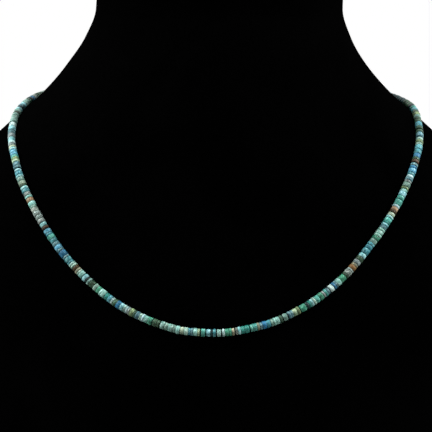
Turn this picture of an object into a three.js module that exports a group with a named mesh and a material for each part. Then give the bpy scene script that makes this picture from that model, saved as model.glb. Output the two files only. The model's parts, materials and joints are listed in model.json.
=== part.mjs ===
// A necklace of small stone drums, worn by a plain black neck bust.
// Millimetres, +Z up. The bust faces -Y and stands on z = 0, with the origin at the middle of its base.

import * as THREE from "three";

// The bust: a flat base, wide rounded shoulders, and a plain neck cut off level.
const BUST_HEIGHT = 226;
const NECK_WIDTH = 99;
const NECK_DEPTH = 88;
const SHOULDER_WIDTH = 212;
const BASE_DEPTH = 156;
const TOP_EDGE_RADIUS = 4;

// The beads: short drums that differ a little in length and width.
const BEAD_DIAMETER = 2.95;
const BEAD_DIAMETER_SPREAD = 0.34;
const BEAD_LENGTH = 1.9;
const BEAD_LENGTH_SPREAD = 1.4;

// The clasp: one plain barrel.
const CLASP_LENGTH = 10;
const CLASP_DIAMETER = 3.4;
const CLASP_EDGE = 0.5;

// The small gaps that keep the pieces apart.
const BUST_CLEARANCE = 0.15;
const END_CLEARANCE = 0.3;

// How finely the round shapes are cut.
const BUST_SIDES = 48;
const BUST_STEPS_PER_ROW = 2;
const TOP_EDGE_STEPS = 3;
const BEAD_SIDES = 10;
const CLASP_SIDES = 20;
const ROUTE_STEPS = 720;

// Horizontal sections of the bust, from the base up. Level is a share of the height. Widen is a share
// of the way from the neck's width to the shoulders', and forward and backward are shares of the way
// from the neck's depth to the base's, in front and behind. Lean is how far the section's middle lies
// towards +X, as a share of the neck's width.
const BUST_SECTIONS = [
  { level: 0.0, widen: 0.8, forward: 1.0, backward: 1.0, lean: 0.0 },
  { level: 0.25, widen: 0.93, forward: 0.93, backward: 0.985, lean: 0.0 },
  { level: 0.4, widen: 0.985, forward: 0.83, backward: 0.93, lean: 0.0 },
  { level: 0.5, widen: 1.0, forward: 0.735, backward: 0.85, lean: 0.0 },
  { level: 0.58, widen: 0.935, forward: 0.64, backward: 0.755, lean: 0.0 },
  { level: 0.63, widen: 0.8, forward: 0.56, backward: 0.665, lean: 0.0 },
  { level: 0.68, widen: 0.595, forward: 0.46, backward: 0.555, lean: 0.0 },
  { level: 0.73, widen: 0.368, forward: 0.345, backward: 0.43, lean: 0.0 },
  { level: 0.78, widen: 0.195, forward: 0.235, backward: 0.305, lean: 0.0 },
  { level: 0.83, widen: 0.07, forward: 0.125, backward: 0.175, lean: 0.006 },
  { level: 0.88, widen: 0.004, forward: 0.035, backward: 0.06, lean: 0.0115 },
  { level: 1.0, widen: 0.0, forward: 0.0, backward: 0.0, lean: 0.0225 },
];

// The way the necklace takes over the bust. Angle is in degrees round the neck, 0 at the front and
// growing towards +X, with the nape at both ends. Level is a share of the bust's height.
const NECKLACE_ROUTE = [
  { angle: -180, level: 0.785 },
  { angle: -150, level: 0.773 },
  { angle: -125, level: 0.747 },
  { angle: -110, level: 0.7275 },
  { angle: -98, level: 0.7165 },
  { angle: -91, level: 0.709 },
  { angle: -85, level: 0.6965 },
  { angle: -77.8, level: 0.6785 },
  { angle: -69.3, level: 0.645 },
  { angle: -63.6, level: 0.613 },
  { angle: -58, level: 0.568 },
  { angle: -52.1, level: 0.517 },
  { angle: -45.6, level: 0.4655 },
  { angle: -37.5, level: 0.4175 },
  { angle: -28, level: 0.376 },
  { angle: -16.5, level: 0.3465 },
  { angle: -8.5, level: 0.3355 },
  { angle: 0, level: 0.333 },
  { angle: 13, level: 0.3445 },
  { angle: 25, level: 0.3725 },
  { angle: 36.5, level: 0.4195 },
  { angle: 46.5, level: 0.4835 },
  { angle: 54.1, level: 0.543 },
  { angle: 59.2, level: 0.5865 },
  { angle: 63.2, level: 0.6145 },
  { angle: 68.8, level: 0.6465 },
  { angle: 76.7, level: 0.678 },
  { angle: 83, level: 0.6925 },
  { angle: 90, level: 0.7025 },
  { angle: 98, level: 0.711 },
  { angle: 110, level: 0.7235 },
  { angle: 125, level: 0.744 },
  { angle: 150, level: 0.773 },
  { angle: 180, level: 0.785 },
];

// Two irrational steps, whose remainders always differ by a good share from one bead to the next.
const LENGTH_STEP = (Math.sqrt(5) - 1) / 2;
const DIAMETER_STEP = Math.SQRT2 - 1;

const WIDEST_BEAD_RADIUS = (BEAD_DIAMETER + BEAD_DIAMETER_SPREAD / 2) / 2;
const FULL_CIRCLE = 360;
const FRONT_ANGLE = 0;
const NAPE_ANGLE = FULL_CIRCLE / 2;

// A smooth curve through two columns of a table. It never overshoots a row, and it ends level.
function curveThrough(rows, from, to) {
  const x = rows.map((row) => row[from]);
  const y = rows.map((row) => row[to]);
  const widths = x.slice(1).map((value, i) => value - x[i]);
  const rises = y.slice(1).map((value, i) => (value - y[i]) / widths[i]);
  const slopes = x.map((_, i) => {
    const isEnd = i === 0 || i === x.length - 1;
    if (isEnd || rises[i - 1] * rises[i] <= 0) return 0;
    const before = widths[i - 1] + 2 * widths[i];
    const after = 2 * widths[i - 1] + widths[i];
    return (before + after) / (before / rises[i - 1] + after / rises[i]);
  });
  return (at) => {
    let i = 0;
    while (i < widths.length - 1 && at >= x[i + 1]) i += 1;
    const t = (at - x[i]) / widths[i];
    const held = y[i] * (1 + 2 * t) * (1 - t) ** 2 + y[i + 1] * t * t * (3 - 2 * t);
    const leaning = slopes[i] * t * (1 - t) ** 2 + slopes[i + 1] * t * t * (t - 1);
    return held + widths[i] * leaning;
  };
}

const widenAt = curveThrough(BUST_SECTIONS, "level", "widen");
const forwardAt = curveThrough(BUST_SECTIONS, "level", "forward");
const backwardAt = curveThrough(BUST_SECTIONS, "level", "backward");
const leanAt = curveThrough(BUST_SECTIONS, "level", "lean");
const routeLevelAt = curveThrough(NECKLACE_ROUTE, "angle", "level");

// A closed solid through rings of as many points each, turning counter-clockwise seen from its last end.
function loft(rings) {
  const sides = rings[0].length;
  const points = rings.flat();
  const faces = [];
  for (let ring = 0; ring < rings.length - 1; ring += 1) {
    for (let side = 0; side < sides; side += 1) {
      const next = (side + 1) % sides;
      const a = ring * sides + side;
      const b = ring * sides + next;
      faces.push(a, b, b + sides, a, b + sides, a + sides);
    }
  }
  const lastRing = (rings.length - 1) * sides;
  const firstMiddle = points.push(middleOf(rings[0])) - 1;
  const lastMiddle = points.push(middleOf(rings[rings.length - 1])) - 1;
  for (let side = 0; side < sides; side += 1) {
    const next = (side + 1) % sides;
    faces.push(firstMiddle, next, side);
    faces.push(lastMiddle, lastRing + side, lastRing + next);
  }
  const geometry = new THREE.BufferGeometry().setFromPoints(points);
  geometry.setIndex(faces);
  geometry.computeVertexNormals();
  return geometry;
}

function middleOf(ring) {
  const sum = ring.reduce((total, point) => total.add(point), new THREE.Vector3());
  return sum.divideScalar(ring.length);
}

// A point of the bust's skin, drawn in towards its middle by an inset. Each section is two half ellipses.
function bustPoint(angle, level, inset = 0) {
  const turn = THREE.MathUtils.degToRad(angle);
  const halfWidth = (NECK_WIDTH + (SHOULDER_WIDTH - NECK_WIDTH) * widenAt(level)) / 2 - inset;
  const deepenAt = Math.cos(turn) > 0 ? forwardAt : backwardAt;
  const halfDepth = (NECK_DEPTH + (BASE_DEPTH - NECK_DEPTH) * deepenAt(level)) / 2 - inset;
  const reach = 1 / Math.hypot(Math.sin(turn) / halfWidth, Math.cos(turn) / halfDepth);
  const across = NECK_WIDTH * leanAt(level) + reach * Math.sin(turn);
  return new THREE.Vector3(across, -reach * Math.cos(turn), level * BUST_HEIGHT);
}

function bustNormal(angle, level) {
  const angleStep = 0.01;
  const levelStep = 0.0001;
  const around = bustPoint(angle + angleStep, level).sub(bustPoint(angle - angleStep, level));
  const upward = bustPoint(angle, level + levelStep).sub(bustPoint(angle, level - levelStep));
  return around.cross(upward).normalize();
}

function neckBust() {
  const ringAt = (level, inset) =>
    Array.from({ length: BUST_SIDES }, (_, side) =>
      bustPoint((FULL_CIRCLE * side) / BUST_SIDES, level, inset),
    );
  const rings = [];
  const topEdgeLevel = 1 - TOP_EDGE_RADIUS / BUST_HEIGHT;
  for (let row = 0; row < BUST_SECTIONS.length - 1; row += 1) {
    const from = BUST_SECTIONS[row].level;
    const to = Math.min(BUST_SECTIONS[row + 1].level, topEdgeLevel);
    for (let step = 0; step < BUST_STEPS_PER_ROW; step += 1) {
      rings.push(ringAt(from + ((to - from) * step) / BUST_STEPS_PER_ROW, 0));
    }
  }
  for (let step = 0; step <= TOP_EDGE_STEPS; step += 1) {
    const turn = (Math.PI / 2) * (step / TOP_EDGE_STEPS);
    const rise = TOP_EDGE_RADIUS * Math.sin(turn);
    const inset = TOP_EDGE_RADIUS * (1 - Math.cos(turn));
    rings.push(ringAt(topEdgeLevel + rise / BUST_HEIGHT, inset));
  }
  return loft(rings);
}

// The line through the middle of the beads, one bead's radius and a small gap off the bust, sampled
// from the nape to the front, with the length so far at each sample.
function necklaceLine(napeAngle) {
  const lift = WIDEST_BEAD_RADIUS + BUST_CLEARANCE;
  const samples = [];
  let length = 0;
  for (let step = 0; step <= ROUTE_STEPS; step += 1) {
    const angle = napeAngle + ((FRONT_ANGLE - napeAngle) * step) / ROUTE_STEPS;
    const level = routeLevelAt(angle);
    const outward = bustNormal(angle, level);
    const point = bustPoint(angle, level).addScaledVector(outward, lift);
    if (step > 0) length += point.distanceTo(samples[step - 1].point);
    samples.push({ point, outward, length });
  }
  return samples;
}

// The middle of the line at a length along it, with the directions along and across it there.
function placeOnLine(line, length) {
  let i = 1;
  while (i < line.length - 1 && line[i].length < length) i += 1;
  const before = line[i - 1];
  const after = line[i];
  const share = (length - before.length) / (after.length - before.length);
  const middle = before.point.clone().lerp(after.point, share);
  const along = after.point.clone().sub(before.point).normalize();
  const outward = before.outward.clone().lerp(after.outward, share);
  outward.addScaledVector(along, -outward.dot(along)).normalize();
  const sideways = along.clone().cross(outward);
  return { middle, along, outward, sideways };
}

// The first length along a line at which the widest bead's end face stands clear of the clasp.
function lengthPastClasp(line) {
  const nearest = CLASP_LENGTH / 2 + END_CLEARANCE;
  const clear = line.slice(1).find((sample) => {
    const { along } = placeOnLine(line, sample.length);
    const lean = WIDEST_BEAD_RADIUS * Math.hypot(along.y, along.z);
    return Math.abs(sample.point.x) - lean >= nearest;
  });
  return clear.length;
}

// Bead lengths that fill a length, each near the mean, and the radius that goes with each.
function beadsFilling(length) {
  const count = Math.round(length / BEAD_LENGTH);
  const beads = Array.from({ length: count }, (_, i) => ({
    length: BEAD_LENGTH + BEAD_LENGTH_SPREAD * (((i * LENGTH_STEP) % 1) - 0.5),
    radius: (BEAD_DIAMETER + BEAD_DIAMETER_SPREAD * (((i * DIAMETER_STEP) % 1) - 0.5)) / 2,
  }));
  const total = beads.reduce((sum, bead) => sum + bead.length, 0);
  return beads.map(({ length: own, radius }) => ({ length: (own * length) / total, radius }));
}

// The beads from the clasp to the front of the bust, each a drum that touches the next.
function beadString(napeAngle) {
  const line = necklaceLine(napeAngle);
  const start = lengthPastClasp(line);
  const end = line[ROUTE_STEPS].length - END_CLEARANCE / 2;
  const rings = [];
  let length = start;
  for (const bead of beadsFilling(end - start)) {
    rings.push(beadRing(placeOnLine(line, length), bead.radius));
    length += bead.length;
    rings.push(beadRing(placeOnLine(line, length), bead.radius));
  }
  return loft(rings);
}

function beadRing({ middle, outward, sideways }, radius) {
  return Array.from({ length: BEAD_SIDES }, (_, side) => {
    const turn = THREE.MathUtils.degToRad((FULL_CIRCLE * side) / BEAD_SIDES);
    return middle
      .clone()
      .addScaledVector(outward, radius * Math.cos(turn))
      .addScaledVector(sideways, radius * Math.sin(turn));
  });
}

// A barrel along its own Y axis, with its two edges broken.
function claspBarrel() {
  const radius = CLASP_DIAMETER / 2;
  const half = CLASP_LENGTH / 2;
  const profile = [
    new THREE.Vector2(0, -half),
    new THREE.Vector2(radius - CLASP_EDGE, -half),
    new THREE.Vector2(radius, -half + CLASP_EDGE),
    new THREE.Vector2(radius, half - CLASP_EDGE),
    new THREE.Vector2(radius - CLASP_EDGE, half),
    new THREE.Vector2(0, half),
  ];
  return new THREE.LatheGeometry(profile, CLASP_SIDES);
}

function namedMesh(name, geometry, material) {
  const mesh = new THREE.Mesh(geometry, material);
  mesh.name = name;
  return mesh;
}

const velvet = new THREE.MeshStandardMaterial({ color: "#08080a", roughness: 0.95, metalness: 0 });
const stone = new THREE.MeshStandardMaterial({ color: "#86b5ab", roughness: 0.4, metalness: 0 });
const silver = new THREE.MeshStandardMaterial({ color: "#c9c9c6", roughness: 0.3, metalness: 1 });

const necklaceOnBust = new THREE.Group();
necklaceOnBust.add(namedMesh("neck_bust", neckBust(), velvet));
necklaceOnBust.add(namedMesh("bead_string_left", beadString(-NAPE_ANGLE), stone));
necklaceOnBust.add(namedMesh("bead_string_right", beadString(NAPE_ANGLE), stone));

const clasp = namedMesh("clasp", claspBarrel(), silver);
const napeLevel = routeLevelAt(NAPE_ANGLE);
const claspLift = CLASP_DIAMETER / 2 + BUST_CLEARANCE;
clasp.position.copy(bustPoint(NAPE_ANGLE, napeLevel));
clasp.position.addScaledVector(bustNormal(NAPE_ANGLE, napeLevel), claspLift);
clasp.rotation.z = Math.PI / 2;
necklaceOnBust.add(clasp);

export default necklaceOnBust;
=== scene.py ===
"""A necklace of small stone drums, worn by a plain black neck bust.

Lengths are in metres and +Z is up. The bust faces -Y and stands on z = 0, with the origin at the
middle of its base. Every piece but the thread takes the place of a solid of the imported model.
"""

import bisect
import json
import math
import random
from collections import namedtuple

import bpy
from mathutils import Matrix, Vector

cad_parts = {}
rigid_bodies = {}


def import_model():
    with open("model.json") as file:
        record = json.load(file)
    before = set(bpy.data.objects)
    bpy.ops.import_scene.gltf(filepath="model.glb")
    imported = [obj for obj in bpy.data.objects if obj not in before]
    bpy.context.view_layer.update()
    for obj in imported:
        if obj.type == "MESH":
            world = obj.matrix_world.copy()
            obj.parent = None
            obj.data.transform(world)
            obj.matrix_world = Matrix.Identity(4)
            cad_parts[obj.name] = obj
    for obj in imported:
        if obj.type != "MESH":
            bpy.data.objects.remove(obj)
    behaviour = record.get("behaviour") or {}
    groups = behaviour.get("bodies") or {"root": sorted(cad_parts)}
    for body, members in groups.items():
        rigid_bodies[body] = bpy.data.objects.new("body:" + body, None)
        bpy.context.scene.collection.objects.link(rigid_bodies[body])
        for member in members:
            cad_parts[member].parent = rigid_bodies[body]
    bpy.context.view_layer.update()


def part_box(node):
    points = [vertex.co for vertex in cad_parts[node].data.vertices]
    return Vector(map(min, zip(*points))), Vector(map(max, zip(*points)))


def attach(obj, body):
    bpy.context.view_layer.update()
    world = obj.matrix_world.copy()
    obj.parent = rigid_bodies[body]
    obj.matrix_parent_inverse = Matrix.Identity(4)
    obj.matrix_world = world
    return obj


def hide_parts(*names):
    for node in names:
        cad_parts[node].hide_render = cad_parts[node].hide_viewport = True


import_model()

bl_info = {
    "name": "Beaded necklace on a neck bust",
    "version": (1, 0, 0),
    "blender": (4, 5, 0),
    "location": "3D View > Sidebar > Necklace",
    "description": "Makes a strand of stone beads, its thread and clasp, and the bust under it",
    "category": "Object",
}

BODY = "root"
MM = 0.001
BUST_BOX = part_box("neck_bust")
CLASP_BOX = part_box("clasp")

# Horizontal sections of the bust, from the base up. Level is a share of the height. Widen is a
# share of the way from the neck's width to the shoulders', and forward and backward are shares of
# the way from the neck's depth to the base's, in front and behind. Lean is how far the section's
# middle lies towards +X, as a share of the neck's width.
BustSection = namedtuple("BustSection", "level widen forward backward lean")
BUST_SECTIONS = (
    BustSection(0.0, 0.8, 1.0, 1.0, 0.0),
    BustSection(0.25, 0.93, 0.93, 0.985, 0.0),
    BustSection(0.4, 0.985, 0.83, 0.93, 0.0),
    BustSection(0.5, 1.0, 0.735, 0.85, 0.0),
    BustSection(0.58, 0.935, 0.64, 0.755, 0.0),
    BustSection(0.63, 0.8, 0.56, 0.665, 0.0),
    BustSection(0.68, 0.595, 0.46, 0.555, 0.0),
    BustSection(0.73, 0.368, 0.345, 0.43, 0.0),
    BustSection(0.78, 0.195, 0.235, 0.305, 0.0),
    BustSection(0.83, 0.07, 0.125, 0.175, 0.006),
    BustSection(0.88, 0.004, 0.035, 0.06, 0.0115),
    BustSection(1.0, 0.0, 0.0, 0.0, 0.0225),
)

# The way the necklace takes over the bust. Angle is in degrees round the neck, 0 at the front and
# growing towards +X, with the nape at both ends. Level is a share of the bust's height.
RoutePoint = namedtuple("RoutePoint", "angle level")
NECKLACE_ROUTE = (
    RoutePoint(-180, 0.785),
    RoutePoint(-150, 0.773),
    RoutePoint(-125, 0.747),
    RoutePoint(-110, 0.7275),
    RoutePoint(-98, 0.7165),
    RoutePoint(-91, 0.709),
    RoutePoint(-85, 0.6965),
    RoutePoint(-77.8, 0.6785),
    RoutePoint(-69.3, 0.645),
    RoutePoint(-63.6, 0.613),
    RoutePoint(-58, 0.568),
    RoutePoint(-52.1, 0.517),
    RoutePoint(-45.6, 0.4655),
    RoutePoint(-37.5, 0.4175),
    RoutePoint(-28, 0.376),
    RoutePoint(-16.5, 0.3465),
    RoutePoint(-8.5, 0.3355),
    RoutePoint(0, 0.333),
    RoutePoint(13, 0.3445),
    RoutePoint(25, 0.3725),
    RoutePoint(36.5, 0.4195),
    RoutePoint(46.5, 0.4835),
    RoutePoint(54.1, 0.543),
    RoutePoint(59.2, 0.5865),
    RoutePoint(63.2, 0.6145),
    RoutePoint(68.8, 0.6465),
    RoutePoint(76.7, 0.678),
    RoutePoint(83, 0.6925),
    RoutePoint(90, 0.7025),
    RoutePoint(98, 0.711),
    RoutePoint(110, 0.7235),
    RoutePoint(125, 0.744),
    RoutePoint(150, 0.773),
    RoutePoint(180, 0.785),
)
ROUTE_STEPS = 1440
FULL_CIRCLE = 360
QUARTER_TURN = 90

# Irrational steps, whose remainders differ by a good share from one bead to the next.
LENGTH_STEP = (math.sqrt(5) - 1) / 2
DIAMETER_STEP = math.sqrt(2) - 1

# The stones of the strand. Cloud is the second colour, in patches over a share of the bead, and
# matrix is how strongly the dark veins show.
Stone = namedtuple("Stone", "name body cloud patches matrix")
STONES = (
    Stone("white", "#8db1b1", "#c6dfde", 0.5, 0.3),
    Stone("mint", "#7ab2a3", "#b5ddd3", 0.45, 0.35),
    Stone("sage", "#71988b", "#a8c8bd", 0.45, 0.45),
    Stone("cream", "#9fb096", "#cbd5bd", 0.45, 0.35),
    Stone("lime", "#89a685", "#bccfb1", 0.45, 0.35),
    Stone("aqua", "#68a9ad", "#a3d2d4", 0.5, 0.3),
    Stone("sky", "#4490ac", "#8bc4d6", 0.45, 0.3),
    Stone("lagoon", "#347f8b", "#72b3b8", 0.45, 0.45),
    Stone("denim", "#1f6284", "#4a8ca8", 0.4, 0.3),
    Stone("slate", "#43707a", "#7fa8ac", 0.45, 0.5),
    Stone("turquoise", "#429a8d", "#7cc3b6", 0.45, 0.35),
    Stone("teal", "#1c746a", "#4aa596", 0.45, 0.45),
    Stone("deep", "#032a2c", "#0e4a4a", 0.4, 0.5),
    Stone("green", "#2e7d63", "#62ad8f", 0.45, 0.4),
    Stone("moss", "#23422f", "#4d735c", 0.45, 0.6),
    Stone("olive", "#5f7550", "#91a87b", 0.45, 0.5),
    Stone("sand", "#8c8a70", "#b8b59c", 0.45, 0.4),
    Stone("pebble", "#7c8a88", "#adb8b3", 0.45, 0.6),
    Stone("spotted", "#8b9c94", "#bac8c0", 0.45, 1.0),
    Stone("coral", "#99785a", "#c6aa8c", 0.45, 0.3),
    Stone("amber", "#74512a", "#94744a", 0.4, 0.4),
    Stone("umber", "#2d2009", "#513e1d", 0.4, 0.5),
    Stone("rust", "#4f3625", "#80665a", 0.4, 0.5),
)

# The stones in their order where the strand shows in front, from the side at -X to the one at +X,
# charted. Each row covers an equal stretch as it is seen. A minus marks a thin bead, a plus a thick
# one, and a bar a gap.
# The first row and the last hold more dark stones (moss, deep) than the rest. Partly these are the
# stones' own colours, and partly painted shade, standing in for the shade where the strand turns
# over the shoulders.
STONE_CHART = (
    # Painted shade in part: dark stones stand in for the shade where the strand turns over the
    # shoulder at -X.
    "moss moss pebble- denim- deep- moss- sage aqua- slate- deep- aqua- sage- moss- sage sage-",
    "sage- | white aqua slate pebble aqua white- pebble- cream- aqua- sky+ turquoise- olive-",
    "lime- slate slate- | aqua- lagoon aqua- sage cream moss- aqua- lagoon spotted mint-",
    "coral mint sage- spotted spotted spotted pebble aqua rust- | sky",
    "lagoon- turquoise lagoon slate sky slate- denim+ slate- lagoon lagoon- sage-",
    "sage- umber sand- sage- mint | aqua deep- sage- moss+ sage green mint-",
    "mint teal lagoon white- moss denim aqua sage- white- spotted- olive moss-",
    "slate sage- white- mint green | moss moss- | sage sage mint- sage-",
    "sage- mint cream sage lagoon- slate- mint lime- | turquoise | aqua deep-",
    "lagoon- | sage | white- green green- sand- | spotted- aqua- teal teal | turquoise-",
    "turquoise sand- slate- denim lagoon sage- mint- mint moss- | sage | slate-",
    "slate- lime olive- | green+ deep- teal- aqua- sage- turquoise green pebble-",
    "turquoise- slate- | white denim- slate- mint green+ moss- spotted spotted- amber",
    "sand- pebble moss aqua lagoon+ lagoon lagoon- sage green mint-",
    "mint mint- slate aqua- teal- turquoise aqua- cream umber- coral white- turquoise+",
    "turquoise aqua mint- olive- sage pebble- slate- white- lagoon- sky denim- slate- |",
    "rust- moss- denim lagoon lagoon sage- olive- sage- | slate moss- | moss- lagoon",
    # Painted shade in part: dark stones stand in for the shade where the strand turns over the
    # shoulder at +X.
    "moss- moss- sage- olive- moss- lagoon- teal- deep- moss moss- deep- deep deep deep",
)
BEAD_SHARES = {"-": 0.6, "": 1.0, "+": 1.5}
GAP_SHARE = 0.25
SEEN_FROM_ANGLE = -101.5
SEEN_TO_ANGLE = 102.5

# How far one bead may differ from the next. The gap after it and its shade are shares of the usual.
GAP_VARIES = (0.4, 1.8)
SHADE_VARIES = (0.85, 1.12)
WARMTH_VARIES = (-0.05, 0.05)
CLOUDS_START_WITHIN = (0, 100)
BRIGHTEST_SHARE = 0.95

# How finely the pieces are made, and how far the thread goes into the clasp. Edges that turn more
# than the sharpest round, in degrees, stay sharp.
BUST_SIDES = 128
BUST_LEVELS = 120
BASE_EDGE_STEPS = 3
TOP_EDGE_STEPS = 6
CLASP_SIDES = 48
CLASP_EDGE_STEPS = 5
THREAD_SIDES = 8
THREAD_STEP = 0.75 * MM
THREAD_IN_CLASP = 0.6 * MM
FLOOR_SIDES = 96
SHARPEST_ROUND = 50

# The lights, with the setting that holds each one's power, and the camera's sensor in millimetres.
StudioLight = namedtuple("StudioLight", "name place width power")
STUDIO_LIGHTS = (
    StudioLight("top_light", (0.0, -0.2, 0.9), 0.5, "top_power"),
    StudioLight("left_light", (-0.75, -0.13, 0.7), 0.4, "side_power"),
    StudioLight("right_light", (0.75, -0.13, 0.7), 0.4, "side_power"),
)
SENSOR_WIDTH = 36.0

# Where the background grows from dim to full: by the rise, and by the +Y share, of the way it lies.
LOW_SKY_FADE = (-0.3, -0.06)
FRONT_SKY_FADE = (-0.7, 0.1)


def linear(code):
    """The scene-linear colour of a six-digit sRGB code such as #a5d4d6."""
    shares = [int(code[start : start + 2], 16) / 255 for start in (1, 3, 5)]
    return tuple(s / 12.92 if s <= 0.04045 else ((s + 0.055) / 1.055) ** 2.4 for s in shares)


def size_property(label, default, about, least=0.0):
    """A length that the user can change."""
    return bpy.props.FloatProperty(
        name=label, description=about, default=default, min=least, unit="LENGTH", precision=5
    )


def angle_property(label, degrees, about):
    """An angle that the user can change."""
    return bpy.props.FloatProperty(
        name=label, description=about, default=math.radians(degrees), subtype="ANGLE"
    )


def amount_property(label, default, about):
    """A plain number that the user can change."""
    return bpy.props.FloatProperty(name=label, description=about, default=default, min=0.0)


def colour_property(label, code, about):
    """A colour that the user can change."""
    return bpy.props.FloatVectorProperty(
        name=label, description=about, default=linear(code), subtype="COLOR", min=0.0, max=1.0
    )


class BustSizes(bpy.types.PropertyGroup):
    """The neck bust."""

    height: size_property("Height", BUST_BOX[1].z, "From the base to the top of the neck")
    neck_width: size_property("Neck width", 99 * MM, "Across the neck")
    neck_depth: size_property("Neck depth", 88 * MM, "From the front of the neck to its back")
    shoulder_width: size_property("Shoulder width", 2 * BUST_BOX[1].x, "Across the shoulders")
    base_depth: size_property("Base depth", 2 * BUST_BOX[1].y, "From front to back at the base")
    top_edge: size_property("Top edge", 4 * MM, "Radius of the edge round the top of the neck")
    base_edge: size_property("Base edge", 1.2 * MM, "Radius of the edge round the base")
    velvet: colour_property("Velvet", "#010101", "Colour of the velvet")
    velvet_worn: colour_property("Velvet, brushed", "#020202", "Where the pile leans another way")


class BeadSizes(bpy.types.PropertyGroup):
    """The stone beads."""

    diameter: size_property("Diameter", 2.95 * MM, "Mean diameter of a bead")
    diameter_spread: size_property("Diameter spread", 0.34 * MM, "Widest less narrowest")
    length: size_property("Length", 1.6 * MM, "Mean length of a bead along the strand")
    length_spread: size_property("Length spread", 1.2 * MM, "Longest less shortest")
    bore: size_property("Bore", 0.9 * MM, "Diameter of the hole for the thread")
    longest: size_property("Longest", 3 * MM, "A longer stretch of one stone is two beads")
    joint: size_property("Joint", 0.06 * MM, "Usual gap from one bead to the next")
    tilt: angle_property("Tilt", 1.6, "How far a bead may lean on the thread")
    sides: bpy.props.IntProperty(name="Sides", description="Sides of a bead", default=12, min=8)
    seed: bpy.props.IntProperty(name="Seed", description="Fixes what is random", default=7)


class StoneColours(bpy.types.PropertyGroup):
    """The body colour of each stone."""

    __annotations__ = {
        stone.name: colour_property(stone.name.capitalize(), stone.body, "Body colour of the stone")
        for stone in STONES
    }


class FindingSizes(bpy.types.PropertyGroup):
    """The thread and the clasp."""

    thread_diameter: size_property("Thread", 0.45 * MM, "Diameter of the thread")
    thread_colour: colour_property("Thread colour", "#23211f", "Colour of the thread")
    clasp_length: size_property("Clasp length", CLASP_BOX[1].x - CLASP_BOX[0].x, "Along the strand")
    clasp_diameter: size_property("Clasp diameter", CLASP_BOX[1].z - CLASP_BOX[0].z, "Across it")
    clasp_edge: size_property("Clasp edge", 0.5 * MM, "Radius of the barrel's two edges")
    clasp_colour: colour_property("Clasp colour", "#d8d6d2", "Colour of the metal")
    pile_depth: size_property("In the pile", 0.25 * MM, "How far the widest bead sinks into it")
    end_clearance: size_property("Off the clasp", 0.3 * MM, "Gap from the clasp to the beads")


class StageSettings(bpy.types.PropertyGroup):
    """The camera, the lights, the floor and the background."""

    camera_distance: size_property("Camera distance", 1.3, "From the camera to what it looks at")
    camera_height: size_property("Aim height", 115 * MM, "Height of the point it looks at")
    camera_side: size_property("Aim sideways", -0.2 * MM, "Of that point, to +X", least=-1.0)
    camera_elevation: angle_property("Camera elevation", 4, "How far the camera looks down")
    focal_length: amount_property("Focal length", 267.5, "In millimetres, on a 36 mm wide sensor")
    floor_radius: size_property("Floor radius", 0.4, "Radius of the floor")
    floor_colour: colour_property("Floor colour", "#858482", "Colour of the floor")
    top_power: amount_property("Top light power", 3.0, "Light from above, in watts")
    side_power: amount_property("Side light power", 12.0, "Light from each side, in watts")
    low_sky: amount_property("Low sky", 0.2, "Brightness of the background far below the horizon")
    front_sky: amount_property("Front sky", 0.3, "Brightness of the background behind the camera")


GROUPS = {
    "bust_sizes": BustSizes,
    "bead_sizes": BeadSizes,
    "stone_colours": StoneColours,
    "finding_sizes": FindingSizes,
    "stage_settings": StageSettings,
}


def curve_through(rows, given, wanted):
    """A smooth curve through two columns of a table. It overshoots no row, and it ends level."""
    x = [getattr(row, given) for row in rows]
    y = [getattr(row, wanted) for row in rows]
    widths = [b - a for a, b in zip(x, x[1:])]
    rises = [(b - a) / width for a, b, width in zip(y, y[1:], widths)]
    slopes = [0.0] * len(x)
    for i in range(1, len(x) - 1):
        if rises[i - 1] * rises[i] > 0:
            before = widths[i - 1] + 2 * widths[i]
            after = 2 * widths[i - 1] + widths[i]
            slopes[i] = (before + after) / (before / rises[i - 1] + after / rises[i])

    def height_at(place):
        i = 0
        while i < len(widths) - 1 and place >= x[i + 1]:
            i += 1
        t = (place - x[i]) / widths[i]
        held = y[i] * (1 + 2 * t) * (1 - t) ** 2 + y[i + 1] * t * t * (3 - 2 * t)
        leaning = slopes[i] * t * (1 - t) ** 2 + slopes[i + 1] * t * t * (t - 1)
        return held + widths[i] * leaning

    return height_at


widen_at = curve_through(BUST_SECTIONS, "level", "widen")
forward_at = curve_through(BUST_SECTIONS, "level", "forward")
backward_at = curve_through(BUST_SECTIONS, "level", "backward")
lean_at = curve_through(BUST_SECTIONS, "level", "lean")
route_level_at = curve_through(NECKLACE_ROUTE, "angle", "level")


def bust_point(angle, level, inset=0.0):
    """A point of the bust's skin, drawn in towards its middle by an inset."""
    sizes = bpy.context.scene.bust_sizes
    turn = math.radians(angle)
    width_gain = (sizes.shoulder_width - sizes.neck_width) * widen_at(level)
    deepen_at = forward_at if math.cos(turn) > 0 else backward_at
    depth_gain = (sizes.base_depth - sizes.neck_depth) * deepen_at(level)
    half_width = (sizes.neck_width + width_gain) / 2 - inset
    half_depth = (sizes.neck_depth + depth_gain) / 2 - inset
    reach = 1 / math.hypot(math.sin(turn) / half_width, math.cos(turn) / half_depth)
    across = sizes.neck_width * lean_at(level) + reach * math.sin(turn)
    return Vector((across, -reach * math.cos(turn), level * sizes.height))


def bust_normal(angle, level):
    """The direction straight out of the bust's skin."""
    angle_step = 0.01
    level_step = 0.0001
    around = bust_point(angle + angle_step, level) - bust_point(angle - angle_step, level)
    upward = bust_point(angle, level + level_step) - bust_point(angle, level - level_step)
    return (around / angle_step).cross(upward / level_step).normalized()


LineSample = namedtuple("LineSample", "point outward length seen angle")
LinePlace = namedtuple("LinePlace", "middle along outward")


def widest_bead_radius():
    """Half the diameter of the widest bead."""
    beads = bpy.context.scene.bead_sizes
    return (beads.diameter + beads.diameter_spread / 2) / 2


def camera_aim():
    """The point that the camera looks at."""
    settings = bpy.context.scene.stage_settings
    return Vector((settings.camera_side, 0.0, settings.camera_height))


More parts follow.
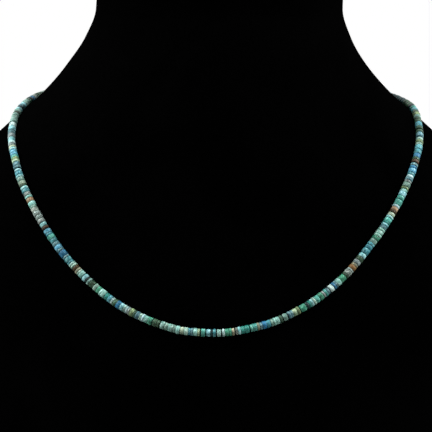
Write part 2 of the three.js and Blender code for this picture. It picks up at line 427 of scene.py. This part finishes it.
def camera_place():
    """Where the camera stands."""
    settings = bpy.context.scene.stage_settings
    lean = settings.camera_elevation
    back = Vector((0.0, -math.cos(lean), math.sin(lean)))
    return camera_aim() + back * settings.camera_distance


def necklace_line():
    """The line through the middle of the beads, sampled from the nape round the front to the nape.

    Each sample has the length so far, and the angle that this length fills as the camera sees it.
    """
    lift = widest_bead_radius() - bpy.context.scene.finding_sizes.pile_depth
    eye = camera_place()
    samples = []
    length = 0.0
    seen = 0.0
    for step in range(ROUTE_STEPS + 1):
        angle = FULL_CIRCLE * (step / ROUTE_STEPS - 0.5)
        level = route_level_at(angle)
        outward = bust_normal(angle, level)
        point = bust_point(angle, level) + outward * lift
        if samples:
            before = samples[-1].point
            length += (point - before).length
            seen += ((point - eye).normalized() - (before - eye).normalized()).length
        samples.append(LineSample(point, outward, length, seen, angle))
    return samples


def place_on_line(line, length):
    """The middle of the line at a length along it, with the directions along and out of it."""
    i = bisect.bisect_left(line, length, lo=1, hi=len(line) - 1, key=lambda sample: sample.length)
    before = line[i - 1]
    after = line[i]
    share = (length - before.length) / (after.length - before.length)
    middle = before.point.lerp(after.point, share)
    along = (after.point - before.point).normalized()
    outward = before.outward.lerp(after.outward, share)
    outward = (outward - along * outward.dot(along)).normalized()
    return LinePlace(middle, along, outward)


def length_at_seen(line, seen):
    """The length along the line at which this much of it shows."""
    i = bisect.bisect_left(line, seen, lo=1, hi=len(line) - 1, key=lambda sample: sample.seen)
    before = line[i - 1]
    after = line[i]
    share = (seen - before.seen) / (after.seen - before.seen)
    return before.length + (after.length - before.length) * share


def lengths_clear_of_clasp(line):
    """The first and last lengths at which the widest bead's end face stands clear of the clasp."""
    findings = bpy.context.scene.finding_sizes
    nearest = findings.clasp_length / 2 + findings.end_clearance
    clear = []
    for sample in line:
        along = place_on_line(line, sample.length).along
        lean = widest_bead_radius() * math.hypot(along.y, along.z)
        if abs(sample.point.x) - lean >= nearest:
            clear.append(sample.length)
    return clear[0], clear[-1]


BeadSlot = namedtuple("BeadSlot", "start end stone")


def filled(start, end, draw):
    """Slots for the beads that fill a hidden stretch, with stones drawn from all of them."""
    sizes = bpy.context.scene.bead_sizes
    count = round((end - start) / sizes.length)
    lengths = [
        sizes.length + sizes.length_spread * ((i * LENGTH_STEP) % 1 - 0.5) for i in range(count)
    ]
    fit = (end - start) / sum(lengths)
    slots = []
    for length in lengths:
        slots.append(BeadSlot(start, start + length * fit, draw.choice(STONES).name))
        start += length * fit
    return slots


def charted(line):
    """Slots for the beads that show in front, as the chart gives them."""
    first = next(sample.seen for sample in line if sample.angle >= SEEN_FROM_ANGLE)
    last = next(sample.seen for sample in line if sample.angle >= SEEN_TO_ANGLE)
    row_length = (last - first) / len(STONE_CHART)
    slots = []
    for number, row in enumerate(STONE_CHART):
        words = row.split()
        names = [word.rstrip("-+") for word in words]
        shares = [
            GAP_SHARE if name == "|" else BEAD_SHARES[word[len(name) :]]
            for word, name in zip(words, names)
        ]
        seen = first + number * row_length
        for name, share in zip(names, shares):
            shows = row_length * share / sum(shares)
            if name != "|":
                start = length_at_seen(line, seen)
                slots += split_long(start, length_at_seen(line, seen + shows), name)
            seen += shows
    return slots


def split_long(start, end, stone):
    """One slot, or several where it would be longer than the longest bead."""
    count = math.ceil((end - start) / bpy.context.scene.bead_sizes.longest)
    step = (end - start) / count
    return [BeadSlot(start + i * step, start + (i + 1) * step, stone) for i in range(count)]


SetBead = namedtuple(
    "SetBead", "middle along outward size form stone_body stone_cloud patches matrix stone_seed"
)


def shaded(colour, shade, warmth):
    """A colour made lighter or darker, and warmer or cooler."""
    red, green, blue = colour
    made = (red * shade * (1 + warmth), green * shade, blue * shade * (1 - warmth))
    return (*(min(share, BRIGHTEST_SHARE) for share in made), 1.0)


def set_bead(line, number, slot, draw):
    """A bead in its slot, with its own width, form and colours."""
    scene = bpy.context.scene
    sizes = scene.bead_sizes
    spread = sizes.diameter_spread * ((number * DIAMETER_STEP) % 1 - 0.5)
    radius = (sizes.diameter + spread) / 2
    length = slot.end - slot.start - sizes.joint * draw.uniform(*GAP_VARIES)
    place = place_on_line(line, (slot.start + slot.end) / 2)
    stone = next(stone for stone in STONES if stone.name == slot.stone)
    shade = draw.uniform(*SHADE_VARIES)
    warmth = draw.uniform(*WARMTH_VARIES)
    return SetBead(
        middle=place.middle,
        along=place.along,
        outward=place.outward,
        size=Vector((radius, radius, length)),
        form=draw.randrange(len(BEAD_FORMS)),
        stone_body=shaded(getattr(scene.stone_colours, stone.name), shade, warmth),
        stone_cloud=shaded(linear(stone.cloud), shade, warmth),
        patches=stone.patches,
        matrix=stone.matrix,
        stone_seed=draw.uniform(*CLOUDS_START_WITHIN),
    )


def bead_holder(side, beads):
    """Points at the beads' middles, each with what the tree and the stone finish read from it."""
    holder = mesh_object(f"places_{side}", [bead.middle for bead in beads], [])
    fields = {
        "FLOAT_VECTOR": ("vector", ("along", "outward", "size")),
        "FLOAT_COLOR": ("color", ("stone_body", "stone_cloud")),
        "FLOAT": ("value", ("patches", "matrix", "stone_seed")),
        "INT": ("value", ("form",)),
    }
    for kind, (field, names) in fields.items():
        for name in names:
            attribute = holder.data.attributes.new(name, kind, "POINT")
            for item, bead in zip(attribute.data, beads):
                setattr(item, field, getattr(bead, name))
    return holder


def remove_object(thing):
    """Deletes an object and its data."""
    data = thing.data
    bpy.data.objects.remove(thing)
    if data.users == 0:
        bpy.data.meshes.remove(data)


def mesh_object(name, points, faces, edges=()):
    """A mesh object at the origin, in the scene."""
    mesh = bpy.data.meshes.new(name)
    mesh.from_pydata(points, edges, faces)
    thing = bpy.data.objects.new(name, mesh)
    bpy.context.scene.collection.objects.link(thing)
    return thing


def shade_round(mesh):
    """Smooth shading, apart from the sharpest edges."""
    mesh.shade_smooth()
    mesh.set_sharp_from_angle(angle=math.radians(SHARPEST_ROUND))


def skin_faces(ring_count, sides, closed):
    """Quads between rings of points, all round, and from the last ring to the first when closed."""
    faces = []
    for ring in range(ring_count if closed else ring_count - 1):
        low = ring * sides
        high = (ring + 1) % ring_count * sides
        for side in range(sides):
            after = (side + 1) % sides
            faces.append((low + side, low + after, high + after, high + side))
    return faces


def even_turns(degrees, steps):
    """The sine and cosine at even steps of a turn, from its start to its end."""
    turns = [math.radians(degrees * step / steps) for step in range(steps + 1)]
    return [(math.sin(turn), math.cos(turn)) for turn in turns]


def end_faces(points, sides):
    """The two flat faces that close a skin at its first and last rings."""
    last = len(points) - sides
    return [tuple(reversed(range(sides))), tuple(range(last, last + sides))]


def finish_piece(piece, node):
    """Rides on the one body, and stands for the named solid, which it hides."""
    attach(piece, BODY)
    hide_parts(node)


def set_inputs(node, **values):
    """Sets a node's own inputs, named with underscores for spaces."""
    for name, value in values.items():
        node.inputs[name.replace("_", " ")].default_value = value


def smooth_rise(tree, value, low, high, dark, light=1.0):
    """Maps an output smoothly, from dark at low to light at high."""
    node = tree.nodes.new("ShaderNodeMapRange")
    node.interpolation_type = "SMOOTHSTEP"
    set_inputs(node, From_Min=low, From_Max=high, To_Min=dark, To_Max=light)
    tree.links.new(value, node.inputs["Value"])
    return node.outputs["Result"]


class Shader:
    """A material's node tree, with short ways to add the nodes that the finishes share."""

    def __init__(self, name):
        self.material = bpy.data.materials.new(name)
        self.material.use_nodes = True
        self.nodes = self.material.node_tree.nodes
        self.surface = self.nodes["Principled BSDF"]
        self.place = self.nodes.new("ShaderNodeTexCoord").outputs["Object"]

    def link(self, source, target):
        """Joins an output to an input."""
        self.material.node_tree.links.new(source, target)

    def noise(self, scale, detail=2.0, roughness=0.5, distortion=0.0, seed=None, place=None):
        """Noise of a scale in patches a metre, shifted by a seed output where there is one."""
        node = self.nodes.new("ShaderNodeTexNoise")
        node.noise_dimensions = "4D" if seed else "3D"
        set_inputs(node, Scale=scale, Detail=detail, Roughness=roughness, Distortion=distortion)
        self.link(place or self.place, node.inputs["Vector"])
        if seed:
            self.link(seed, node.inputs["W"])
        return node.outputs["Fac"]

    def ramp(self, value, low, high, dark=0.0, light=1.0):
        """A smooth rise of one of this material's outputs."""
        return smooth_rise(self.material.node_tree, value, low, high, dark, light)

    def math(self, operation, first, second):
        """Joins two outputs, or an output and a number, by one operation."""
        node = self.nodes.new("ShaderNodeMath")
        node.operation = operation
        for source, target in zip((first, second), node.inputs):
            if isinstance(source, (int, float)):
                target.default_value = source
            else:
                self.link(source, target)
        return node.outputs["Value"]

    def mix(self, share, first, second, blend="MIX"):
        """Mixes two colours, each an output or a colour, by a share."""
        node = self.nodes.new("ShaderNodeMix")
        node.data_type = "RGBA"
        node.blend_type = blend
        colours = [socket for socket in node.inputs if socket.type == "RGBA"]
        for source, target in zip((first, second), colours):
            if isinstance(source, bpy.types.NodeSocket):
                self.link(source, target)
            else:
                target.default_value = (*source, 1.0)
        if isinstance(share, (int, float)):
            node.inputs["Factor"].default_value = share
        else:
            self.link(share, node.inputs["Factor"])
        return next(socket for socket in node.outputs if socket.type == "RGBA")

    def attribute(self, name):
        """A value stored on the mesh, as a node with a Color and a Fac output."""
        node = self.nodes.new("ShaderNodeAttribute")
        node.attribute_name = name
        return node.outputs

    def bump(self, height, strength, distance):
        """Raises the surface by a height, at most by a distance."""
        node = self.nodes.new("ShaderNodeBump")
        set_inputs(node, Strength=strength, Distance=distance)
        self.link(height, node.inputs["Height"])
        self.link(node.outputs["Normal"], self.surface.inputs["Normal"])


def velvet_material():
    """Short black pile that leans this way and that, and swallows nearly all light."""
    sizes = bpy.context.scene.bust_sizes
    shader = Shader("black_velvet")
    set_inputs(shader.surface, Specular_IOR_Level=0.0, Sheen_Weight=0.001, Sheen_Roughness=0.5)
    leaning = shader.ramp(shader.noise(18, detail=3, distortion=0.6), 0.35, 0.65)
    pile = shader.noise(2600, detail=2)
    colour = shader.mix(leaning, tuple(sizes.velvet), tuple(sizes.velvet_worn))
    darker = shader.mix(shader.ramp(pile, 0.3, 0.7), (0.3, 0.3, 0.3), (1.0, 1.0, 1.0))
    shader.link(shader.mix(1.0, colour, darker, "MULTIPLY"), shader.surface.inputs["Base Color"])
    shader.link(shader.ramp(pile, 0.2, 0.8, 0.85, 1.0), shader.surface.inputs["Roughness"])
    shader.bump(pile, 0.4, 0.2 * MM)
    return shader.material


def stone_material():
    """Half-polished stone in the bead's own colours, with cloudy patches and dark veins."""
    shader = Shader("bead_stone")
    set_inputs(shader.surface, Specular_IOR_Level=0.2)
    body = shader.attribute("stone_body")["Color"]
    cloud = shader.attribute("stone_cloud")["Color"]
    patches = shader.attribute("patches")["Fac"]
    matrix = shader.attribute("matrix")["Fac"]
    seed = shader.attribute("stone_seed")["Fac"]

    cloudy = shader.noise(750, detail=4, roughness=0.6, distortion=1.2, seed=seed)
    level = shader.math("SUBTRACT", 1.0, patches)
    covered = shader.ramp(shader.math("SUBTRACT", cloudy, level), -0.09, 0.08)
    colour = shader.mix(covered, body, cloud)

    other_seed = shader.math("ADD", seed, 50.0)
    blotches = shader.noise(480, detail=2, distortion=0.6, seed=other_seed)
    grain = shader.noise(2600, detail=3, roughness=0.7, seed=seed)
    for marks, low, high, dark, light in (
        (blotches, 0.38, 0.6, (0.55, 0.63, 0.63), (1.12, 1.12, 1.12)),
        (grain, 0.3, 0.7, (0.84, 0.86, 0.86), (1.07, 1.07, 1.07)),
    ):
        shade = shader.mix(shader.ramp(marks, low, high), dark, light)
        colour = shader.mix(1.0, colour, shade, "MULTIPLY")

    wander = shader.noise(900, detail=3, roughness=0.65, distortion=1.5, seed=seed)
    off_vein = shader.math("ABSOLUTE", shader.math("SUBTRACT", wander, 0.5), 0.0)
    veins = shader.ramp(off_vein, 0.012, 0.05, 1.0, 0.0)
    spots = shader.ramp(shader.noise(1500, detail=2, seed=seed), 0.6, 0.66)
    marked = shader.math("MULTIPLY", shader.math("MAXIMUM", veins, spots), matrix)
    vein_colour = (0.03, 0.028, 0.02)
    colour = shader.mix(marked, colour, vein_colour)
    shader.link(colour, shader.surface.inputs["Base Color"])

    shader.link(shader.ramp(grain, 0.3, 0.7, 0.3, 0.5), shader.surface.inputs["Roughness"])
    shader.bump(grain, 0.25, 0.03 * MM)
    return shader.material


def thread_material():
    """Dark twisted thread with a slight wax shine."""
    findings = bpy.context.scene.finding_sizes
    shader = Shader("waxed_thread")
    set_inputs(shader.surface, Specular_IOR_Level=0.4)
    strands = shader.noise(4500, detail=2, distortion=1.0)
    deep = tuple(0.5 * share for share in findings.thread_colour)
    colour = shader.mix(shader.ramp(strands, 0.35, 0.65), deep, tuple(findings.thread_colour))
    shader.link(colour, shader.surface.inputs["Base Color"])
    shader.link(shader.ramp(strands, 0.3, 0.7, 0.5, 0.75), shader.surface.inputs["Roughness"])
    shader.bump(strands, 0.5, 0.05 * MM)
    return shader.material


def clasp_material():
    """Polished silver with fine wear."""
    findings = bpy.context.scene.finding_sizes
    shader = Shader("clasp_silver")
    set_inputs(shader.surface, Metallic=1.0)
    tarnish = shader.noise(350, detail=4, roughness=0.6)
    dull = tuple(0.7 * share for share in findings.clasp_colour)
    colour = shader.mix(shader.ramp(tarnish, 0.4, 0.7), tuple(findings.clasp_colour), dull)
    shader.link(colour, shader.surface.inputs["Base Color"])
    shader.link(shader.ramp(tarnish, 0.35, 0.7, 0.16, 0.32), shader.surface.inputs["Roughness"])
    shader.bump(shader.noise(3000, detail=2), 0.08, 0.02 * MM)
    return shader.material


def floor_material():
    """Plain pale board with a faint tooth."""
    shader = Shader("pale_floor")
    set_inputs(shader.surface, Specular_IOR_Level=0.2)
    tooth = shader.noise(400, detail=3)
    floor = tuple(bpy.context.scene.stage_settings.floor_colour)
    colour = shader.mix(shader.ramp(tooth, 0.3, 0.7), tuple(0.97 * share for share in floor), floor)
    shader.link(colour, shader.surface.inputs["Base Color"])
    shader.link(shader.ramp(tooth, 0.3, 0.7, 0.7, 0.85), shader.surface.inputs["Roughness"])
    return shader.material


class NodeTree:
    """A Geometry Nodes tree with named inputs, and the modifier that runs it on a holder."""

    def __init__(self, name):
        self.tree = bpy.data.node_groups.new(name, "GeometryNodeTree")
        self.sockets = {}
        self.values = {}
        self.new_socket("Geometry", "NodeSocketGeometry")
        self.tree.interface.new_socket(
            name="Geometry", in_out="OUTPUT", socket_type="NodeSocketGeometry"
        )
        self.inputs = self.node("NodeGroupInput").outputs
        self.output = self.node("NodeGroupOutput").inputs["Geometry"]

    def new_socket(self, name, kind, value=None):
        """Adds a named input and keeps the value that the modifier gives it."""
        socket = self.tree.interface.new_socket(name=name, in_out="INPUT", socket_type=kind)
        self.sockets[name] = socket.identifier
        self.values[name] = value

    def node(self, kind, links=None, **settings):
        """Adds a node with its settings, and links or sets its inputs by name."""
        node = self.tree.nodes.new(kind)
        for name, value in settings.items():
            setattr(node, name, value)
        for name, source in (links or {}).items():
            if isinstance(source, bpy.types.NodeSocket):
                self.tree.links.new(source, node.inputs[name])
            else:
                node.inputs[name].default_value = source
        return node

    def stored(self, name, kind):
        """A value stored on the holder's points."""
        kept = self.node("GeometryNodeInputNamedAttribute", {"Name": name}, data_type=kind)
        return kept.outputs[0]

    def finish(self, geometry):
        """Ends the tree with real geometry in the material input's finish."""
        real = self.node("GeometryNodeRealizeInstances", {"Geometry": geometry})
        painted = self.node(
            "GeometryNodeSetMaterial",
            {"Geometry": real.outputs["Geometry"], "Material": self.inputs["Material"]},
        )
        self.tree.links.new(painted.outputs["Geometry"], self.output)

    def run(self, holder, name):
        """What the tree makes of the holder, as a plain mesh object. The holder is cleared away."""
        modifier = holder.modifiers.new(name, "NODES")
        modifier.node_group = self.tree
        for socket, identifier in self.sockets.items():
            if self.values[socket] is not None:
                modifier[identifier] = self.values[socket]
        graph = bpy.context.evaluated_depsgraph_get()
        mesh = bpy.data.meshes.new_from_object(holder.evaluated_get(graph))
        mesh.name = name
        piece = bpy.data.objects.new(name, mesh)
        bpy.context.scene.collection.objects.link(piece)
        remove_object(holder)
        return piece


# A bead's form as shares of its radius and length: how far its edges are rounded, how much wider
# one end is, and how far one end face leans.
BeadForm = namedtuple("BeadForm", "name edge_in edge_along taper skew")
BEAD_FORMS = (
    BeadForm("crisp_drum", edge_in=0.07, edge_along=0.08, taper=0.0, skew=0.0),
    BeadForm("soft_drum", edge_in=0.1, edge_along=0.13, taper=0.01, skew=0.02),
    BeadForm("round_shouldered_drum", edge_in=0.13, edge_along=0.19, taper=-0.01, skew=-0.02),
    BeadForm("uneven_drum", edge_in=0.1, edge_along=0.1, taper=0.025, skew=0.04),
)


def bead_shape(form):
    """A drilled drum of unit radius and unit length along Z."""
    sizes = bpy.context.scene.bead_sizes
    bore = sizes.bore / sizes.diameter
    rings = (
        (bore, -0.5),
        (1 - form.edge_in, -0.5),
        (1.0, -0.5 + form.edge_along),
        (1.0, 0.5 - form.edge_along),
        (1 - form.edge_in, 0.5),
        (bore, 0.5),
    )
    points = []
    for radius, rise in rings:
        reach = radius * (1 + form.taper * rise)
        for sine, cosine in even_turns(FULL_CIRCLE, sizes.sides)[:-1]:
            x = reach * cosine
            z = rise * (1 - abs(form.skew)) + form.skew * x * (rise > 0)
            points.append((x, reach * sine, z))
    faces = skin_faces(len(rings), sizes.sides, closed=True)
    shape = mesh_object(form.name, points, faces)
    shape.data.shade_smooth()
    return shape


def bead_shapes():
    """A collection of the bead forms, for the beads to be picked from."""
    collection = bpy.data.collections.new("bead_forms")
    for form in BEAD_FORMS:
        shape = bead_shape(form)
        bpy.context.scene.collection.objects.unlink(shape)
        collection.objects.link(shape)
    return collection


def clear_collection(collection):
    """Deletes a collection and the objects in it."""
    for thing in list(collection.objects):
        remove_object(thing)
    bpy.data.collections.remove(collection)


def beading_tree(shapes, material):
    """Geometry Nodes that set one bead on each point, turned to the strand and a little askew."""
    sizes = bpy.context.scene.bead_sizes
    tree = NodeTree("string_of_beads")
    tree.new_socket("Bead Forms", "NodeSocketCollection", shapes)
    tree.new_socket("Tilt", "NodeSocketFloat", sizes.tilt)
    tree.new_socket("Turn", "NodeSocketFloat", math.pi)
    tree.new_socket("Seed", "NodeSocketInt", sizes.seed)
    tree.new_socket("Material", "NodeSocketMaterial", material)
    facing = tree.node(
        "FunctionNodeAxesToRotation",
        {
            "Primary Axis": tree.stored("along", "FLOAT_VECTOR"),
            "Secondary Axis": tree.stored("outward", "FLOAT_VECTOR"),
        },
        primary_axis="Z",
        secondary_axis="X",
    )
    most = tree.node(
        "ShaderNodeCombineXYZ",
        {"X": tree.inputs["Tilt"], "Y": tree.inputs["Tilt"], "Z": tree.inputs["Turn"]},
    )
    least = tree.node(
        "ShaderNodeVectorMath", {0: most.outputs["Vector"], "Scale": -1.0}, operation="SCALE"
    )
    lean = tree.node(
        "FunctionNodeRandomValue",
        {0: least.outputs["Vector"], 1: most.outputs["Vector"], "Seed": tree.inputs["Seed"]},
        data_type="FLOAT_VECTOR",
    )
    askew = tree.node(
        "FunctionNodeRotateRotation",
        {"Rotation": facing.outputs["Rotation"], "Rotate By": lean.outputs[0]},
        rotation_space="LOCAL",
    )
    forms = tree.node(
        "GeometryNodeCollectionInfo",
        {
            "Collection": tree.inputs["Bead Forms"],
            "Separate Children": True,
            "Reset Children": True,
        },
    )
    beads = tree.node(
        "GeometryNodeInstanceOnPoints",
        {
            "Points": tree.inputs["Geometry"],
            "Instance": forms.outputs["Instances"],
            "Pick Instance": True,
            "Instance Index": tree.stored("form", "INT"),
            "Rotation": askew.outputs["Rotation"],
            "Scale": tree.stored("size", "FLOAT_VECTOR"),
        },
    )
    tree.finish(beads.outputs["Instances"])
    return tree


def thread_tree(material):
    """Geometry Nodes that sweep a round section along a line."""
    findings = bpy.context.scene.finding_sizes
    tree = NodeTree("thread_along_line")
    tree.new_socket("Radius", "NodeSocketFloat", findings.thread_diameter / 2)
    tree.new_socket("Sides", "NodeSocketInt", THREAD_SIDES)
    tree.new_socket("Step", "NodeSocketFloat", THREAD_STEP)
    tree.new_socket("Material", "NodeSocketMaterial", material)
    line = tree.node("GeometryNodeMeshToCurve", {"Mesh": tree.inputs["Geometry"]})
    even = tree.node(
        "GeometryNodeResampleCurve",
        {"Curve": line.outputs["Curve"], "Length": tree.inputs["Step"]},
        mode="LENGTH",
    )
    section = tree.node(
        "GeometryNodeCurvePrimitiveCircle",
        {"Resolution": tree.inputs["Sides"], "Radius": tree.inputs["Radius"]},
    )
    tube = tree.node(
        "GeometryNodeCurveToMesh",
        {
            "Curve": even.outputs["Curve"],
            "Profile Curve": section.outputs["Curve"],
            "Fill Caps": True,
        },
    )
    tree.finish(tube.outputs["Mesh"])
    return tree


def add_aimed(name, data, place):
    """Puts a camera or a light in the scene, facing the point that the camera looks at."""
    thing = bpy.data.objects.new(name, data)
    thing.location = place
    thing.rotation_euler = (camera_aim() - place).to_track_quat("-Z", "Y").to_euler()
    bpy.context.scene.collection.objects.link(thing)
    return thing


def fill_sky(world, low_sky, front_sky):
    """Plain white light from all round, dimmer from low down and from in front."""
    world.use_nodes = True
    tree = world.node_tree
    nodes = tree.nodes
    links = tree.links
    parts = nodes.new("ShaderNodeSeparateXYZ")
    links.new(nodes.new("ShaderNodeTexCoord").outputs["Generated"], parts.inputs["Vector"])
    strength = nodes.new("ShaderNodeMath")
    strength.operation = "MULTIPLY"
    by_rise = smooth_rise(tree, parts.outputs["Z"], *LOW_SKY_FADE, low_sky)
    by_depth = smooth_rise(tree, parts.outputs["Y"], *FRONT_SKY_FADE, front_sky)
    links.new(by_rise, strength.inputs[0])
    links.new(by_depth, strength.inputs[1])
    links.new(strength.outputs["Value"], nodes["Background"].inputs["Strength"])
    nodes["Background"].inputs["Color"].default_value = (1.0, 1.0, 1.0, 1.0)


class BustOperator(bpy.types.Operator):
    """Makes the neck bust"""

    bl_idname = "necklace.neck_bust"
    bl_label = "Make the neck bust"

    def execute(self, context):
        sizes = context.scene.bust_sizes
        rings = []
        for sine, cosine in even_turns(QUARTER_TURN, BASE_EDGE_STEPS)[:-1]:
            level = sizes.base_edge * (1 - cosine) / sizes.height
            rings.append((level, sizes.base_edge * (1 - sine)))
        first_level = sizes.base_edge / sizes.height
        last_level = 1 - sizes.top_edge / sizes.height
        for step in range(BUST_LEVELS):
            rings.append((first_level + (last_level - first_level) * step / BUST_LEVELS, 0.0))
        for sine, cosine in even_turns(QUARTER_TURN, TOP_EDGE_STEPS):
            level = last_level + sizes.top_edge * sine / sizes.height
            rings.append((level, sizes.top_edge * (1 - cosine)))
        points = [
            bust_point(FULL_CIRCLE * side / BUST_SIDES, level, inset)
            for level, inset in rings
            for side in range(BUST_SIDES)
        ]
        faces = skin_faces(len(rings), BUST_SIDES, closed=False) + end_faces(points, BUST_SIDES)
        bust = mesh_object("velvet_bust", points, faces)
        shade_round(bust.data)
        bust.data.materials.append(velvet_material())
        finish_piece(bust, "neck_bust")
        return {"FINISHED"}


class StonesOperator(bpy.types.Operator):
    """Strings the stone beads, one string on each side of the bust"""

    bl_idname = "necklace.stone_beads"
    bl_label = "String the stone beads"

    def execute(self, context):
        draw = random.Random(context.scene.bead_sizes.seed)
        line = necklace_line()
        first, last = lengths_clear_of_clasp(line)
        shown = charted(line)
        slots = filled(first, shown[0].start, draw) + shown + filled(shown[-1].end, last, draw)
        front = next(sample.length for sample in line if sample.angle >= 0)
        beads = [set_bead(line, number, slot, draw) for number, slot in enumerate(slots)]
        on_left = sum(slot.start + slot.end < 2 * front for slot in slots)
        shapes = bead_shapes()
        material = stone_material()
        for side, own in (("left", beads[:on_left]), ("right", beads[on_left:])):
            tree = beading_tree(shapes, material)
            stones = tree.run(bead_holder(side, own), f"stones_{side}")
            finish_piece(stones, f"bead_string_{side}")
        clear_collection(shapes)
        return {"FINISHED"}


class ThreadOperator(bpy.types.Operator):
    """Makes the thread that the beads are strung on"""

    bl_idname = "necklace.thread"
    bl_label = "Make the thread"

    def execute(self, context):
        in_clasp = context.scene.finding_sizes.clasp_length / 2 - THREAD_IN_CLASP
        line = necklace_line()
        whole = line[-1].length
        points = [sample.point for sample in line if in_clasp <= sample.length <= whole - in_clasp]
        edges = [(i, i + 1) for i in range(len(points) - 1)]
        holder = mesh_object("thread_line", points, [], edges)
        thread = thread_tree(thread_material()).run(holder, "thread")
        shade_round(thread.data)
        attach(thread, BODY)
        return {"FINISHED"}


class ClaspOperator(bpy.types.Operator):
    """Makes the barrel clasp at the nape"""

    bl_idname = "necklace.clasp"
    bl_label = "Make the clasp"

    def execute(self, context):
        findings = context.scene.finding_sizes
        middle = (CLASP_BOX[0] + CLASP_BOX[1]) / 2
        half = findings.clasp_length / 2 - findings.clasp_edge
        barrel = findings.clasp_diameter / 2 - findings.clasp_edge
        edge = findings.clasp_edge
        profile = [
            (-half - edge * cosine, barrel + edge * sine)
            for sine, cosine in even_turns(QUARTER_TURN, CLASP_EDGE_STEPS)
        ]
        profile += [(-place, radius) for place, radius in reversed(profile)]
        points = []
        for place, radius in profile:
            for sine, cosine in even_turns(FULL_CIRCLE, CLASP_SIDES)[:-1]:
                across = Vector((0.0, cosine, sine)) * radius
                points.append(middle + Vector((place, 0.0, 0.0)) + across)
        faces = skin_faces(len(profile), CLASP_SIDES, closed=False) + end_faces(points, CLASP_SIDES)
        clasp = mesh_object("barrel_clasp", points, faces)
        shade_round(clasp.data)
        clasp.data.materials.append(clasp_material())
        finish_piece(clasp, "clasp")
        return {"FINISHED"}


class StageOperator(bpy.types.Operator):
    """Makes the camera, the lights, the floor and the background"""

    bl_idname = "necklace.stage"
    bl_label = "Make the stage"

    def execute(self, context):
        settings = context.scene.stage_settings
        context.scene.view_settings.view_transform = "Standard"

        camera = add_aimed("camera", bpy.data.cameras.new("camera"), camera_place())
        camera.data.lens = settings.focal_length
        camera.data.sensor_width = SENSOR_WIDTH
        context.scene.camera = camera

        for light in STUDIO_LIGHTS:
            lamp = bpy.data.lights.new(light.name, "AREA")
            lamp.shape = "DISK"
            lamp.size = light.width
            lamp.energy = getattr(settings, light.power)
            add_aimed(light.name, lamp, Vector(light.place))

        rim = [
            Vector((cosine, sine, 0.0)) * settings.floor_radius
            for sine, cosine in even_turns(FULL_CIRCLE, FLOOR_SIDES)[:-1]
        ]
        floor = mesh_object("floor", rim, [tuple(range(FLOOR_SIDES))])
        floor.data.materials.append(floor_material())

        context.scene.world = bpy.data.worlds.new("studio")
        fill_sky(context.scene.world, settings.low_sky, settings.front_sky)
        return {"FINISHED"}


MAKERS = (
    (BustOperator, "bust_sizes"),
    (StonesOperator, "bead_sizes"),
    (ThreadOperator, "finding_sizes"),
    (ClaspOperator, "finding_sizes"),
    (StageOperator, "stage_settings"),
)


class NecklacePanel(bpy.types.Panel):
    """The sizes and colours, and a button for each operator"""

    bl_idname = "VIEW3D_PT_necklace"
    bl_label = "Necklace"
    bl_space_type = "VIEW_3D"
    bl_region_type = "UI"
    bl_category = "Necklace"

    def draw(self, context):
        for name, group in GROUPS.items():
            box = self.layout.box()
            for maker, settings in MAKERS:
                if settings == name:
                    box.operator(maker.bl_idname)
            for field in group.__annotations__:
                box.prop(getattr(context.scene, name), field)


CLASSES = (*GROUPS.values(), *(maker for maker, _ in MAKERS), NecklacePanel)


def register():
    """Adds the classes, and the settings to every scene."""
    for added in CLASSES:
        bpy.utils.register_class(added)
    for name, group in GROUPS.items():
        setattr(bpy.types.Scene, name, bpy.props.PointerProperty(type=group))


def unregister():
    """Takes the settings and the classes away again."""
    for name in GROUPS:
        delattr(bpy.types.Scene, name)
    for added in reversed(CLASSES):
        bpy.utils.unregister_class(added)


def main():
    """Makes every piece and the stage."""
    register()
    bpy.ops.necklace.neck_bust()
    bpy.ops.necklace.stone_beads()
    bpy.ops.necklace.thread()
    bpy.ops.necklace.clasp()
    bpy.ops.necklace.stage()


if __name__ == "__main__":
    main()
